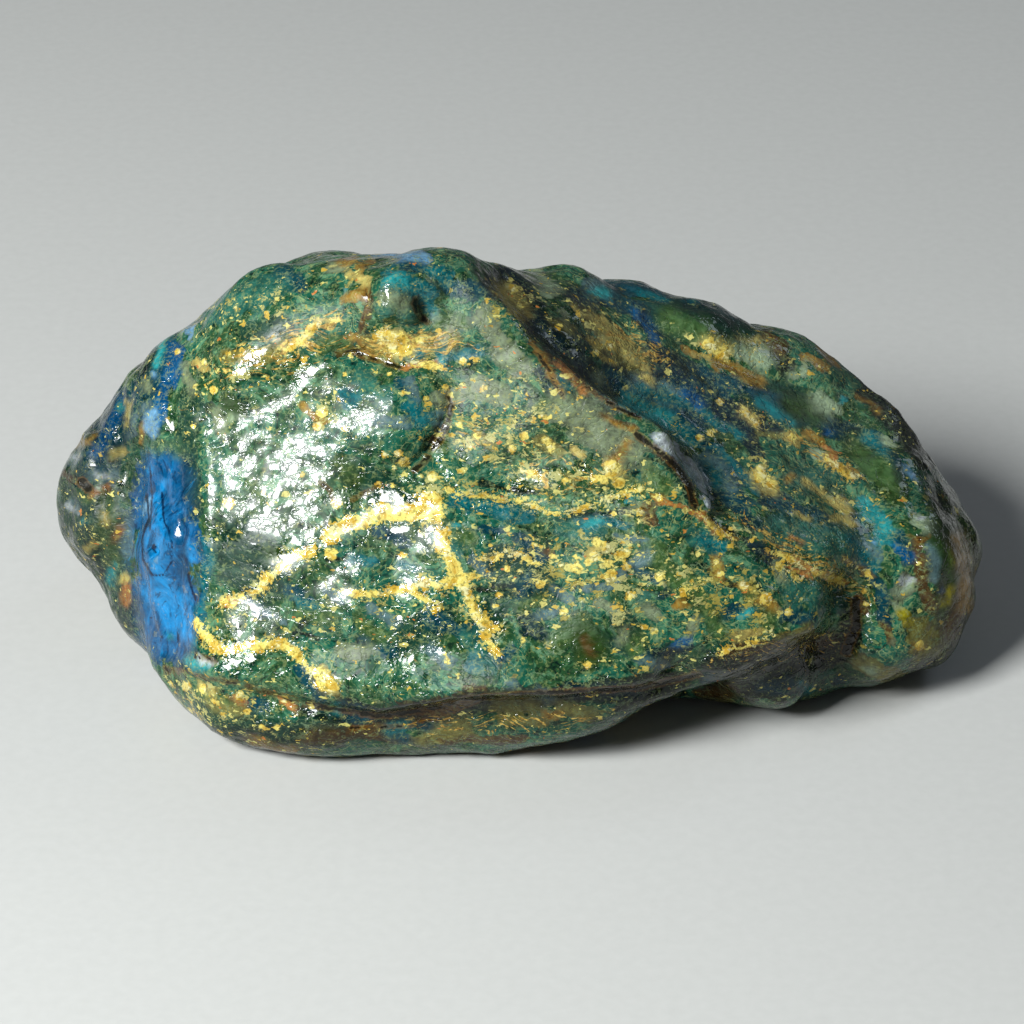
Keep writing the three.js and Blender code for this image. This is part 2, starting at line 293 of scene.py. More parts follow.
# %% The washes: half a width, then x, y, x, y, ...
WASHES = {
    "forest": [
        # Painted shade: the wide strokes down the nose and along the belly darken the left end and the underside where
        # shade falls; the rest are the crust's dark green.
        (24, 124, 384, 100, 440, 84, 500, 100, 570, 132, 636),
        (14, 150, 350, 142, 385), (13, 190, 400, 188, 440, 190, 480, 192, 510), (32, 238, 545, 262, 575),
        (12, 250, 332, 284, 326), (22, 660, 316, 700, 318, 745, 332), (20, 750, 392, 785, 402, 812, 410),
        (11, 66, 512, 76, 540, 90, 562), (12, 480, 640, 500, 600), (11, 618, 614, 632, 632), (18, 400, 640, 440, 620),
        (14, 560, 396, 600, 408), (20, 500, 560, 540, 590), (16, 350, 470, 390, 490),
        (16, 92, 470, 104, 520, 118, 590), (12, 150, 640, 200, 664), (16, 200, 716, 280, 736, 330, 734),
    ],
    "umber": [
        # Painted shade: the strokes along the bottom edge, below the ledge, darken the underside where shade falls; the
        # others are dark resin.
        (17, 715, 668, 790, 660, 838, 646), (7, 340, 700, 380, 714, 424, 712, 470, 698, 545, 692, 600, 686, 680, 676),
        (22, 950, 505, 962, 560, 956, 620, 930, 672), (11, 868, 394, 900, 424, 926, 462), (9, 620, 704, 650, 696, 674, 688),
        (9, 772, 350, 786, 368), (10, 848, 606, 854, 630, 846, 652), (8, 740, 690, 780, 696), (6, 180, 668, 215, 660),
    ],
    "black": [
        # Painted shade: the strokes along the underside, below the ledge and at the low right, and the one in the lip's
        # hollow, darken where shade falls; the others are dark marks of the crust.
        (4, 330, 560, 345, 556), (3, 480, 590, 510, 586, 530, 596), (3, 560, 520, 600, 516, 640, 508),
        (3, 700, 566, 730, 584, 760, 586), (3, 300, 636, 320, 640), (3, 480, 480, 510, 488, 540, 496),
        (8, 148, 350, 142, 372, 140, 392), (6, 84, 484), (8, 140, 600, 145, 612), (12, 528, 304, 546, 330, 574, 352),
        (4, 336, 354, 352, 350, 364, 356, 378, 360), (6, 413, 290, 415, 302), (6, 427, 320), (5, 208, 408),
        (4, 545, 352, 556, 376, 566, 396), (4, 640, 438, 662, 458, 684, 482, 692, 502), (5, 640, 692, 684, 684),
        (4, 380, 712, 430, 704, 474, 693), (6, 933, 532, 919, 540), (4, 318, 692), (4, 712, 522, 760, 546, 790, 556),
        (8, 850, 612, 853, 632), (5, 868, 386, 900, 414), (4, 643, 512, 652, 522),
        (12, 716, 674, 780, 668, 828, 652), (6, 420, 718, 480, 708, 560, 698, 640, 694), (6, 300, 712, 360, 724, 420, 722),
    ],
    "navy": [
        (6, 604, 350, 650, 376, 700, 398, 756, 436), (5, 760, 500, 800, 524, 836, 552), (6, 700, 470, 730, 506, 760, 528),
        (5, 800, 400, 836, 430), (6, 840, 500, 866, 540), (6, 540, 372, 556, 400),
        (30, 164, 478, 164, 560, 170, 634), (10, 530, 318, 556, 344), (12, 584, 370, 600, 390, 612, 406),
        (8, 720, 396, 750, 420, 778, 430), (8, 750, 440, 756, 452), (6, 650, 652, 672, 652, 690, 646),
        (9, 524, 612, 530, 630, 540, 634), (7, 556, 692, 600, 690, 634, 692), (5, 104, 560, 105, 576),
        # Painted shade: the navy stroke from 660,446 to 694,484 darkens the hollow beside the lip's rim.
        (12, 490, 290, 505, 268, 522, 290), (5, 660, 446, 680, 464, 694, 484), (8, 612, 366, 640, 372, 690, 382),
        (6, 752, 544, 778, 566), (12, 650, 350, 690, 376), (9, 572, 296, 590, 306), (5, 660, 596, 668, 590),
    ],
    "petrol": [
        (9, 430, 620, 470, 632), (8, 360, 640, 392, 652), (7, 520, 540, 544, 560), (8, 600, 640, 640, 656),
        (7, 290, 590, 310, 600), (7, 380, 530, 404, 544), (6, 640, 570, 660, 580),
        (8, 596, 376, 650, 400, 700, 438, 740, 480), (9, 770, 500, 820, 520, 862, 548), (7, 700, 372, 760, 392, 800, 420),
        (6, 730, 470, 780, 500, 812, 524), (8, 860, 560, 880, 590, 884, 620), (9, 596, 300, 640, 310),
        (20, 96, 486, 108, 440, 128, 396), (11, 168, 335, 164, 370, 156, 402, 150, 430), (8, 404, 264, 422, 266),
        (10, 452, 286, 472, 292), (10, 590, 290, 620, 286, 664, 291), (8, 690, 297, 706, 300), (9, 732, 494, 744, 506),
        (8, 300, 672, 320, 692, 318, 702), (8, 344, 712, 368, 716), (9, 428, 724, 460, 736), (7, 786, 682, 802, 690),
        (8, 898, 540, 908, 560), (7, 700, 618, 718, 616, 738, 606), (9, 530, 582, 520, 592), (8, 488, 662, 512, 650),
        (6, 484, 528, 502, 530), (8, 828, 428, 852, 434, 884, 444), (8, 886, 456, 900, 470), (9, 602, 378, 634, 378),
        (9, 676, 384, 724, 390), (6, 706, 680, 722, 682), (6, 840, 680), (10, 280, 274, 300, 284), (9, 700, 540, 716, 548),
        (6, 760, 684, 782, 690), (5, 398, 738, 422, 744), (6, 398, 382, 408, 392), (7, 250, 600, 262, 612),
        (7, 232, 700, 262, 706), (8, 780, 612, 812, 620), (10, 660, 404, 700, 420),
    ],
    "olive": [
        (10, 228, 402, 239, 411), (18, 580, 630, 596, 645, 590, 654), (14, 790, 410, 814, 408), (9, 936, 598, 942, 618),
        (15, 856, 446, 876, 470, 894, 492), (9, 340, 460, 352, 478), (8, 270, 556, 286, 560), (6, 534, 486, 546, 490),
        (20, 950, 520, 958, 580),
    ],
    "moss": [
        (8, 430, 520, 470, 540), (7, 520, 606, 540, 600), (8, 640, 540, 660, 556), (9, 360, 620, 380, 636),
        (8, 300, 610, 330, 620), (7, 250, 480, 262, 500), (8, 600, 480, 640, 486), (7, 440, 430, 444, 450),
        (9, 144, 452, 160, 448, 177, 452), (4, 131, 366, 128, 386), (9, 109, 498, 106, 530, 112, 562), (10, 440, 318, 462, 324),
        (9, 648, 466, 666, 486), (12, 862, 452, 880, 474), (9, 552, 646, 562, 636), (12, 660, 560, 690, 590),
        (10, 700, 600, 720, 630), (8, 226, 420), (6, 80, 496, 90, 500), (9, 540, 402, 560, 410), (9, 322, 344, 342, 344),
        (12, 670, 322, 700, 330), (9, 750, 590, 770, 620), (8, 630, 650, 640, 640), (7, 200, 690, 240, 704),
    ],
    "sea": [
        (16, 208, 312, 240, 300, 272, 290), (9, 404, 314, 413, 320), (7, 380, 306, 384, 312), (14, 798, 480, 832, 480),
        (16, 780, 530, 820, 540, 850, 546), (7, 640, 596, 650, 606), (10, 440, 540, 452, 550), (12, 360, 380, 384, 400),
        (14, 790, 590, 830, 600), (5, 868, 630), (12, 470, 640, 486, 668), (9, 560, 530, 600, 532), (10, 690, 536, 710, 544),
    ],
    "sand": [
        (22, 588, 424, 610, 440, 626, 452), (7, 332, 266, 345, 270), (9, 388, 294, 402, 300), (13, 486, 316, 493, 332),
        (9, 908, 580, 900, 592), (5, 146, 385), (6, 186, 366, 191, 388), (7, 648, 610, 656, 615), (5, 624, 628, 622, 642),
        (6, 694, 622, 690, 633), (5, 892, 640), (5, 560, 312, 566, 318), (14, 500, 350, 520, 366), (12, 476, 386, 500, 396),
        (6, 216, 412, 220, 432), (6, 776, 568, 782, 580), (6, 636, 508, 652, 506), (9, 340, 650, 366, 652),
        (16, 560, 410, 586, 418), (5, 600, 604, 612, 606), (10, 440, 400, 456, 396),
    ],
    "slate": [
        (5, 370, 606, 392, 622), (6, 470, 556, 486, 570), (5, 540, 618, 556, 612), (6, 330, 590, 342, 600),
        (5, 620, 536, 640, 542), (6, 430, 650, 450, 662), (4, 270, 616, 284, 624), (5, 556, 590, 572, 598),
        (4, 66, 462, 79, 456), (5, 90, 474, 104, 478, 114, 476), (4, 146, 404, 136, 418, 132, 434), (7, 128, 516, 126, 552),
        (6, 72, 506), (9, 640, 384, 670, 396), (8, 590, 283, 603, 287), (5, 640, 662, 665, 664), (6, 512, 684),
        (6, 588, 590, 612, 584, 632, 566, 646, 556), (5, 930, 548, 936, 577), (4, 920, 484), (9, 722, 304, 736, 312),
        # Painted highlight: the thin slate stroke from 655,436 to 706,502 lightens the lit rim of the lip.
        (7, 540, 694, 552, 700), (6, 410, 380, 416, 400), (3, 655, 436, 672, 446, 688, 460, 700, 474, 706, 502),
        (10, 862, 548, 876, 556), (6, 380, 420, 410, 424), (5, 436, 414, 440, 428), (7, 708, 460, 724, 478, 732, 486),
    ],
    "khaki": [
        (8, 226, 356, 256, 358, 290, 346), (12, 366, 340, 380, 350, 420, 348, 452, 344), (12, 588, 318, 610, 340, 634, 360),
        (9, 444, 730, 463, 726), (10, 500, 706, 532, 708), (7, 560, 706, 592, 712), (14, 918, 628, 931, 642), (9, 918, 650),
        (10, 858, 662, 890, 676, 902, 680), (8, 706, 702, 728, 702), (5, 568, 474, 573, 481), (4, 762, 434, 778, 436),
        (6, 210, 702, 240, 712), (8, 540, 440, 556, 450), (7, 478, 436, 490, 446), (7, 420, 740, 470, 738),
        (5, 556, 322, 572, 331), (5, 500, 720, 540, 724), (7, 780, 640, 810, 632),
    ],
    "brown": [
        (4, 366, 286, 370, 300, 366, 316, 360, 326), (5, 650, 506, 652, 520), (9, 768, 338, 779, 345),
        (7, 918, 545, 922, 580, 930, 608), (7, 306, 739, 350, 733, 392, 736), (2, 360, 726, 410, 722, 440, 708, 482, 690),
        (2, 400, 704, 440, 698, 470, 688), (4, 440, 744, 490, 740, 524, 738), (6, 698, 692, 732, 690), (4, 882, 624, 889, 636),
        (3, 600, 412, 616, 420, 634, 427), (4, 62, 474, 69, 478), (5, 434, 437, 430, 444), (4, 860, 596, 866, 612),
        (5, 546, 552, 552, 556), (6, 730, 650, 780, 646), (4, 800, 650, 836, 640), (8, 962, 600, 950, 630), (4, 584, 640, 592, 654),
    ],
    "teal": [
        (5, 640, 388, 690, 404, 740, 436), (5, 716, 448, 756, 490), (5, 850, 540, 876, 566), (5, 760, 400, 790, 424),
        (5, 640, 292, 664, 300),
        (9, 436, 270, 448, 277), (9, 388, 277, 410, 284, 430, 291), (7, 424, 298, 431, 309), (7, 440, 353, 460, 356, 477, 351),
        (6, 403, 354, 421, 356), (9, 486, 508, 510, 512, 526, 518), (5, 584, 524, 600, 522, 622, 524), (9, 456, 500, 467, 504),
        (8, 664, 420, 692, 440), (5, 204, 540, 206, 570, 200, 604, 196, 644), (8, 474, 660, 470, 669), (6, 868, 436, 885, 450),
        (9, 410, 408, 424, 420), (8, 340, 394, 352, 402), (5, 700, 540, 722, 548), (8, 390, 730, 402, 726), (6, 560, 380, 566, 388),
        (6, 350, 560, 372, 562), (5, 400, 566, 414, 572), (5, 300, 600, 316, 606), (10, 690, 468, 712, 478),
    ],
    "blue": [
        (24, 160, 478, 160, 560, 166, 636),
        (6, 121, 402, 112, 424, 104, 440, 96, 453), (7, 176, 350, 170, 380, 162, 405, 154, 420), (12, 148, 468, 158, 490, 169, 470),
        (8, 140, 494, 146, 516), (9, 172, 488, 179, 508), (11, 158, 528, 156, 550, 160, 566), (8, 192, 528, 196, 560),
        (7, 184, 582, 192, 597), (8, 145, 580, 137, 590), (9, 150, 620, 158, 634), (5, 634, 312, 646, 326, 656, 338),
        (6, 686, 392, 697, 404), (4, 674, 645, 691, 642), (3, 943, 590), (4, 702, 490, 706, 506), (8, 182, 636, 178, 650),
        (6, 898, 548, 908, 558), (3, 830, 432),
    ],
    "turquoise": [
        (5, 190, 662, 206, 668), (4, 170, 325, 162, 345, 158, 363), (6, 392, 277, 404, 284), (9, 626, 402, 644, 412, 665, 417),
        (10, 866, 508, 880, 522, 884, 537), (4, 590, 294, 605, 292), (3, 588, 524, 601, 520), (4, 629, 502), (4, 84, 522),
        (4, 112, 570, 110, 581), (4, 332, 710), (3, 442, 362), (2.5, 347, 291), (4, 697, 296), (4, 844, 396), (3, 170, 637),
        (4, 456, 526), (4, 120, 408), (5, 812, 690, 800, 682), (4, 752, 610, 742, 616),
    ],
    "azure": [
        (12, 152, 588, 162, 602, 174, 614, 180, 624), (8, 160, 580, 171, 592), (6, 181, 602, 187, 632), (4, 162, 486),
        (5, 192, 548, 194, 560), (4, 150, 470), (6, 155, 500, 156, 524), (11, 157, 540, 157, 560),
    ],
    "ochre": [
        (4, 352, 334, 362, 346, 373, 355), (5, 344, 262, 352, 258), (5, 362, 267, 369, 261), (5, 347, 297, 359, 294),
        (3, 76, 446, 93, 434), (3, 137, 446, 146, 428), (3, 530, 340, 542, 352, 552, 372, 562, 392), (4, 684, 346, 697, 356),
        (5, 714, 362, 740, 372, 762, 381), (6, 804, 358, 824, 367), (4, 820, 346, 837, 364), (3, 858, 396, 881, 411),
        (5, 806, 436, 822, 441), (4, 826, 458, 842, 468, 854, 477), (4, 790, 480), (8, 958, 540, 966, 575, 966, 606),
        (5, 918, 646), (5, 250, 741, 270, 748, 294, 750), (5, 546, 718, 558, 716), (4, 676, 606, 686, 602),
        (5, 626, 444, 620, 456, 611, 463), (3, 612, 420, 624, 428, 633, 430), (6, 762, 598, 772, 604), (5, 740, 584, 748, 588),
        (3, 700, 514, 716, 530, 732, 539), (2.5, 846, 560, 869, 574), (5, 716, 560, 720, 576), (5, 306, 408, 322, 424),
        (4, 654, 494, 668, 502),
    ],
    "orange": [
        (3, 556, 360, 568, 372, 581, 391), (4, 118, 528, 114, 541), (3.5, 126, 590, 127, 603), (2.5, 778, 552, 800, 562, 820, 574, 844, 583),
        (2.5, 404, 366, 420, 364, 436, 366), (4, 222, 602, 234, 606), (5, 236, 694, 243, 700), (5, 280, 699, 292, 706),
        (3, 212, 390), (3, 822, 446, 835, 456), (3, 680, 506, 702, 520, 716, 530), (2, 790, 532, 801, 541), (3, 92, 496, 106, 488),
        (2, 792, 566, 814, 578), (3, 660, 500, 676, 507),
    ],
    "straw": [
        (4, 574, 307, 590, 316), (4, 596, 319, 607, 328), (5, 612, 334, 628, 346), (4, 588, 340, 600, 350),
        (4, 626, 354, 644, 366), (3, 600, 356, 613, 362), (4, 644, 378, 652, 382), (3, 692, 356, 706, 360),
        (6, 350, 275, 363, 281), (8, 386, 336, 402, 338), (7, 392, 349, 408, 350), (4, 196, 362, 206, 368), (5, 114, 455, 123, 450),
        (3, 129, 404, 125, 422), (3, 286, 350, 302, 340, 318, 323, 342, 320), (9, 708, 344, 721, 352), (3, 738, 340, 757, 340),
        (4, 744, 410, 757, 425), (4, 787, 436, 799, 440), (8, 758, 474, 771, 485), (4, 804, 482, 823, 492), (6, 832, 500, 843, 507),
        (5, 836, 518, 851, 523), (3, 796, 514, 807, 520), (8, 504, 290, 514, 300, 520, 314), (8, 321, 675, 331, 687),
        (3, 84, 550, 94, 546), (3, 106, 512, 106, 522), (3, 122, 582, 128, 579), (4, 602, 340, 618, 348), (4, 574, 452, 582, 458),
        (6, 608, 466, 616, 476), (5, 590, 556, 600, 552), (4, 732, 640, 762, 632), (4, 200, 686, 212, 690),
    ],
    "mint": [
        (8, 532, 272, 544, 284, 553, 291), (11, 744, 352, 761, 358), (6, 804, 368), (5, 794, 375), (9, 820, 400, 833, 410),
        (8, 916, 520, 927, 524), (3, 96, 484, 100, 490), (4, 812, 450, 821, 456), (4, 886, 440, 899, 447), (5, 898, 606),
        (4, 230, 418), (5, 596, 374, 600, 380), (4, 908, 586, 900, 590), (4, 866, 668, 876, 672),
    ],
    "pale_blue_and_painted_reflection": [
        # Painted reflection: the first stroke paints a bluish reflection along the top edge, and the last one a bluish
        # highlight along the lip's rim; the rest are pale blue flecks.
        (6, 374, 252, 400, 253, 424, 256), (5, 152, 414, 152, 432), (4, 190, 326, 188, 338), (4, 906, 468, 913, 479),
        (2.5, 874, 541), (3, 154, 374), (3, 150, 500, 148, 512), (2, 156, 560),
        (3.5, 672, 448, 688, 462, 699, 478, 704, 492, 706, 508),
    ],
    "lemon": [(7, 904, 612, 908, 620), (5, 950, 590, 944, 604)],
    "white_and_painted_highlight": [
        # Painted highlight: the widest stroke paints the lit edge of the lip's rim; the small ones are pale white
        # flecks on the nose, the foot and the right end.
        (4.6, 660, 438, 674, 448, 690, 464, 701, 481, 706, 506), (3, 64, 460, 74, 456), (3, 96, 476, 106, 478),
        (2.5, 66, 508, 74, 510), (3, 904, 582, 912, 578), (2.5, 916, 518, 924, 516), (3, 200, 660, 212, 664),
    ],
}
HIDDEN_SIDE_WASHES = [                                     # on the hidden side: colour, size of its patches, and where noise counts
    ("forest", 9.0, 0.0, 0.2), ("umber", 11.0, 0.08, 0.25), ("petrol", 7.0, 0.12, 0.28), ("sea", 8.0, 0.1, 0.25),
    ("moss", 6.0, 0.12, 0.3), ("sand", 4.0, 0.3, 0.45), ("khaki", 5.0, 0.32, 0.45), ("brown", 8.0, 0.38, 0.5),
    ("teal", 5.0, 0.24, 0.4), ("sea", 4.0, 0.25, 0.4), ("blue", 10.0, 0.4, 0.48), ("ochre", 2.6, 0.44, 0.56),
    ("straw", 2.2, 0.46, 0.6),
]

# %% Where there is gold, blue glow and clear resin, as ovals: middle, radii in pixels, turn, strength
PATCHES = {
    "gold": [
        ((402, 344), (36, 11), 0, 0.7), ((500, 430), (60, 45), 20, 0.8), ((560, 480), (70, 22), 0, 0.8),
        ((600, 575), (80, 50), 0, 0.75), ((238, 364), (36, 22), 15, 0.7), ((330, 412), (16, 26), 20, 0.7),
        ((745, 352), (60, 14), -12, 0.6), ((800, 440), (60, 14), -38, 0.5), ((222, 706), (70, 30), -12, 0.6),
        ((610, 335), (50, 20), -35, 0.9), ((720, 595), (60, 32), -20, 0.8), ((780, 550), (80, 10), -28, 0.5),
        ((350, 270), (26, 12), 20, 0.6), ((230, 620), (40, 12), 20, 0.6), ((760, 470), (40, 20), -30, 0.5),
        ((512, 300), (22, 22), -30, 0.9), ((440, 490), (40, 30), 0, 0.7), ((640, 500), (60, 18), -15, 0.7),
        ((90, 545), (20, 40), -25, 0.4), ((390, 610), (90, 40), 0, 0.35), ((250, 310), (60, 18), 12, 0.6),
        ((640, 650), (60, 16), 10, 0.5), ((470, 400), (40, 30), 0, 0.5), ((840, 500), (30, 30), 0, 0.4),
    ],
    # Painted shade: these ovals darken the nose, the right end, the underside below the ledge and belly, and the crest
    # and valley, where shade falls.
    "dark_resin_and_painted_shade": [
        ((92, 500), (42, 110), -12, 1.1), ((925, 480), (24, 60), 25, 1.0), ((550, 712), (190, 20), 0, 1.0),
        ((780, 665), (95, 30), 0, 1.2), ((250, 738), (120, 14), 0, 0.9), ((720, 306), (60, 20), -12, 0.8),
        ((560, 330), (34, 66), 35, 1.0), ((120, 620), (20, 50), -20, 0.7), ((880, 400), (20, 50), 40, 0.8),
    ],
    "wet": [
        ((265, 465), (90, 75), 0, 1.2), ((345, 415), (48, 48), 0, 1.2), ((285, 600), (90, 45), 0, 1.0),
        ((395, 545), (80, 60), 0, 0.8), ((230, 325), (60, 36), 0, 0.7), ((428, 288), (20, 12), 0, 1.0),
    ],
    "matte": [
        ((520, 410), (90, 62), 0, 1.2), ((462, 330), (50, 60), 0, 1.2), ((620, 440), (60, 40), -30, 1.0),
        ((310, 322), (60, 26), 15, 1.0), ((560, 560), (110, 90), 0, 0.8), ((470, 672), (50, 18), 0, 1.2), ((350, 662), (40, 16), 0, 0.9),
        ((240, 556), (48, 26), 15, 0.8), ((400, 560), (40, 16), 0, 0.5), ((110, 520), (50, 90), 0, 0.7),
        ((660, 360), (120, 50), -35, 0.9), ((810, 430), (110, 90), 0, 0.9), ((780, 540), (70, 40), 0, 0.6),
    ],
    "blue": [((170, 490), (26, 34), 0, 1.2), ((162, 550), (34, 46), 0, 1.2), ((170, 610), (30, 48), 0, 1.3)],
    "clear": [
        ((588, 641), (26, 24), 20, 1.0), ((233, 406), (14, 10), -20, 1.0), ((700, 318), (60, 16), -12, 1.0),
        ((790, 404), (48, 18), -20, 1.0), ((874, 470), (40, 16), -45, 0.9), ((948, 560), (22, 70), 8, 0.9),
        ((250, 560), (50, 24), 10, 0.6), ((270, 330), (20, 8), 10, 0.7), ((630, 290), (60, 12), -5, 0.8),
    ],
    "streaks": [
        ((286, 348), (76, 24), 22, 1.0), ((412, 344), (54, 14), 0, 1.4), ((560, 468), (70, 24), -10, 0.8),
        ((800, 556), (84, 14), -30, 1.1), ((775, 650), (90, 16), 8, 0.7), ((636, 345), (50, 16), -35, 0.9),
        ((500, 722), (120, 12), 2, 0.8), ((820, 455), (60, 14), -36, 0.8), ((470, 420), (26, 40), 20, 0.7),
    ],
}
WILD = {                                            # on the hidden side: size in millimetres, and where noise counts
    "gold": (9.0, 0.0, 0.4), "dark_resin_and_painted_shade": (14.0, 0.0, 0.5), "wet": (12.0, 0.1, 0.4), "matte": (12.0, 0.0, 0.3), "blue": (11.0, 0.3, 0.45), "clear": (9.0, 0.2, 0.4),
    "streaks": (8.0, 0.0, 0.5),
}

WILD_LINES = {                                      # lines there: size, half a width, and where noise breaks them off
    "vein": (13.0, 0.35, 0.0, 0.1), "crack": (9.0, 0.08, 0.05, 0.15),
}

# %% Veins and cracks: path in pixels, half a width in millimetres
VEINS = {
    "upper left": ([(222, 604), (240, 598), (258, 590)], 0.22),
    "upper left end": ([(258, 590), (266, 578), (280, 568), (296, 556), (312, 550)], 0.4),
    "left arm": ([(328, 536), (348, 525), (372, 517), (386, 511), (404, 513), (424, 512)], 0.72),
    "blob": ([(430, 500), (434, 514)], 1.0),
    "right arm": ([(438, 536), (446, 552), (454, 568), (463, 586)], 0.6),
    "right arm low": ([(463, 586), (469, 602), (480, 624)], 0.42),
    "right arm end": ([(480, 624), (490, 642), (497, 655)], 0.24),
    "right twig": ([(480, 612), (490, 627), (498, 630)], 0.2),
    "cross": ([(342, 592), (354, 594), (378, 594), (398, 590), (412, 587)], 0.22),
    "cross middle": ([(412, 587), (424, 582), (438, 585), (452, 583)], 0.34),
    "cross right": ([(452, 583), (466, 578), (482, 575), (494, 579)], 0.18),
    "branch": ([(410, 589), (420, 598), (434, 610)], 0.16),
    "lower left": ([(197, 622), (206, 634), (216, 648), (232, 650), (246, 646), (262, 646), (280, 643), (294, 650),
                    (303, 662), (312, 672)], 0.38),
    "lower blob": ([(320, 675), (330, 686)], 0.62),
    "flow line": ([(456, 494), (480, 494), (500, 500), (516, 501), (528, 504), (538, 509), (552, 513), (570, 511),
                   (590, 506), (606, 500), (624, 493), (642, 490)], 0.13),
    "flow line above": ([(486, 497), (508, 499), (526, 500), (540, 506)], 0.08),
    "twig": ([(476, 560), (498, 557), (508, 552), (522, 555), (532, 562), (542, 563)], 0.12),
    "gold band": ([(380, 336), (402, 338)], 0.5),
    "lower gold band": ([(390, 349), (408, 350)], 0.42),
    "golden strand": ([(410, 362), (424, 363), (440, 367)], 0.16),
    "head strand": ([(282, 352), (300, 342), (316, 323), (338, 320)], 0.16),
    "crest blotch": ([(708, 344), (722, 352)], 0.5),
    "valley strand": ([(826, 458), (842, 468), (854, 477)], 0.22),
    "valley strand high": ([(744, 410), (757, 424)], 0.2),
    "valley blob": ([(760, 474), (770, 484)], 0.5),
    "face twig": ([(680, 592), (692, 588), (702, 583)], 0.12),
    "strata": ([(700, 514), (716, 530), (732, 539)], 0.14),
    "strata low": ([(778, 553), (800, 563), (820, 574), (843, 583)], 0.16),
    "strata lowest": ([(776, 566), (792, 574), (802, 580)], 0.1),
    "strata right": ([(846, 561), (869, 574)], 0.12),
    "under strata": ([(722, 652), (748, 646), (772, 634)], 0.1),
}
SEEDS = [                                           # the larger single crumbs: x, y and radius in pixels
    (322, 412, 6), (318, 426, 5), (336, 504, 6), (302, 474, 3), (398, 453, 4), (404, 462, 5), (394, 468, 3),
    (432, 477, 6), (448, 490, 4), (385, 454, 3), (392, 486, 2), (379, 484, 3), (521, 470, 4), (460, 472, 3),
    (436, 534, 4), (447, 531, 4), (404, 556, 4), (331, 554, 6), (459, 424, 4), (477, 436, 4), (508, 437, 3),
    (512, 448, 4), (470, 447, 3), (524, 436, 4), (532, 474, 5), (546, 440, 4), (551, 448, 5), (534, 452, 3),
    (541, 416, 3), (549, 417, 3), (612, 468, 8), (604, 480, 4), (594, 478, 4), (565, 481, 3), (619, 483, 5),
    (596, 542, 5), (606, 548, 5), (594, 557, 6), (574, 557, 3), (588, 563, 4), (577, 568, 5), (626, 552, 5),
    (618, 556, 4), (608, 563, 4), (610, 577, 6), (627, 566, 4), (552, 556, 3), (561, 565, 3), (540, 582, 5),
    (535, 545, 3), (564, 612, 5), (631, 595, 5), (659, 577, 5), (644, 628, 3), (655, 631, 4), (587, 664, 4),
    (646, 668, 3), (664, 666, 3), (716, 562, 4), (720, 574, 4), (766, 599, 6), (744, 585, 5), (788, 612, 4),
    (350, 356, 3), (344, 374, 2), (304, 360, 3), (374, 370, 3), (390, 372, 3), (463, 360, 4), (420, 340, 5),
    (484, 387, 3), (405, 393, 3), (428, 399, 3), (446, 388, 3), (210, 306, 3), (190, 324, 3), (178, 351, 3),
    (236, 308, 3), (193, 427, 3), (204, 362, 3), (214, 390, 3), (228, 354, 2),
    (252, 352, 2), (262, 360, 2), (268, 378, 2), (228, 504, 6), (232, 604, 5), (257, 621, 3),
    (186, 686, 5), (204, 689, 5), (190, 712, 4), (200, 717, 3), (170, 684, 3), (223, 716, 3), (216, 702, 3),
    (240, 695, 5), (284, 700, 4), (277, 728, 3), (261, 728, 3), (247, 712, 3), (424, 586, 4), (500, 596, 3),
    (495, 606, 3), (523, 640, 3), (512, 666, 3), (446, 655, 3), (448, 662, 3), (458, 676, 3), (390, 671, 3),
    (347, 668, 3), (520, 572, 3), (507, 569, 3), (614, 514, 3), (640, 512, 4), (658, 498, 4), (712, 432, 4),
    (700, 438, 3), (760, 468, 4), (792, 437, 4), (720, 402, 4), (610, 345, 4), (596, 352, 4), (560, 326, 3),
    (514, 290, 4), (508, 302, 3), (520, 306, 3), (866, 604, 3), (920, 646, 4), (600, 718, 3), (290, 646, 4),
]
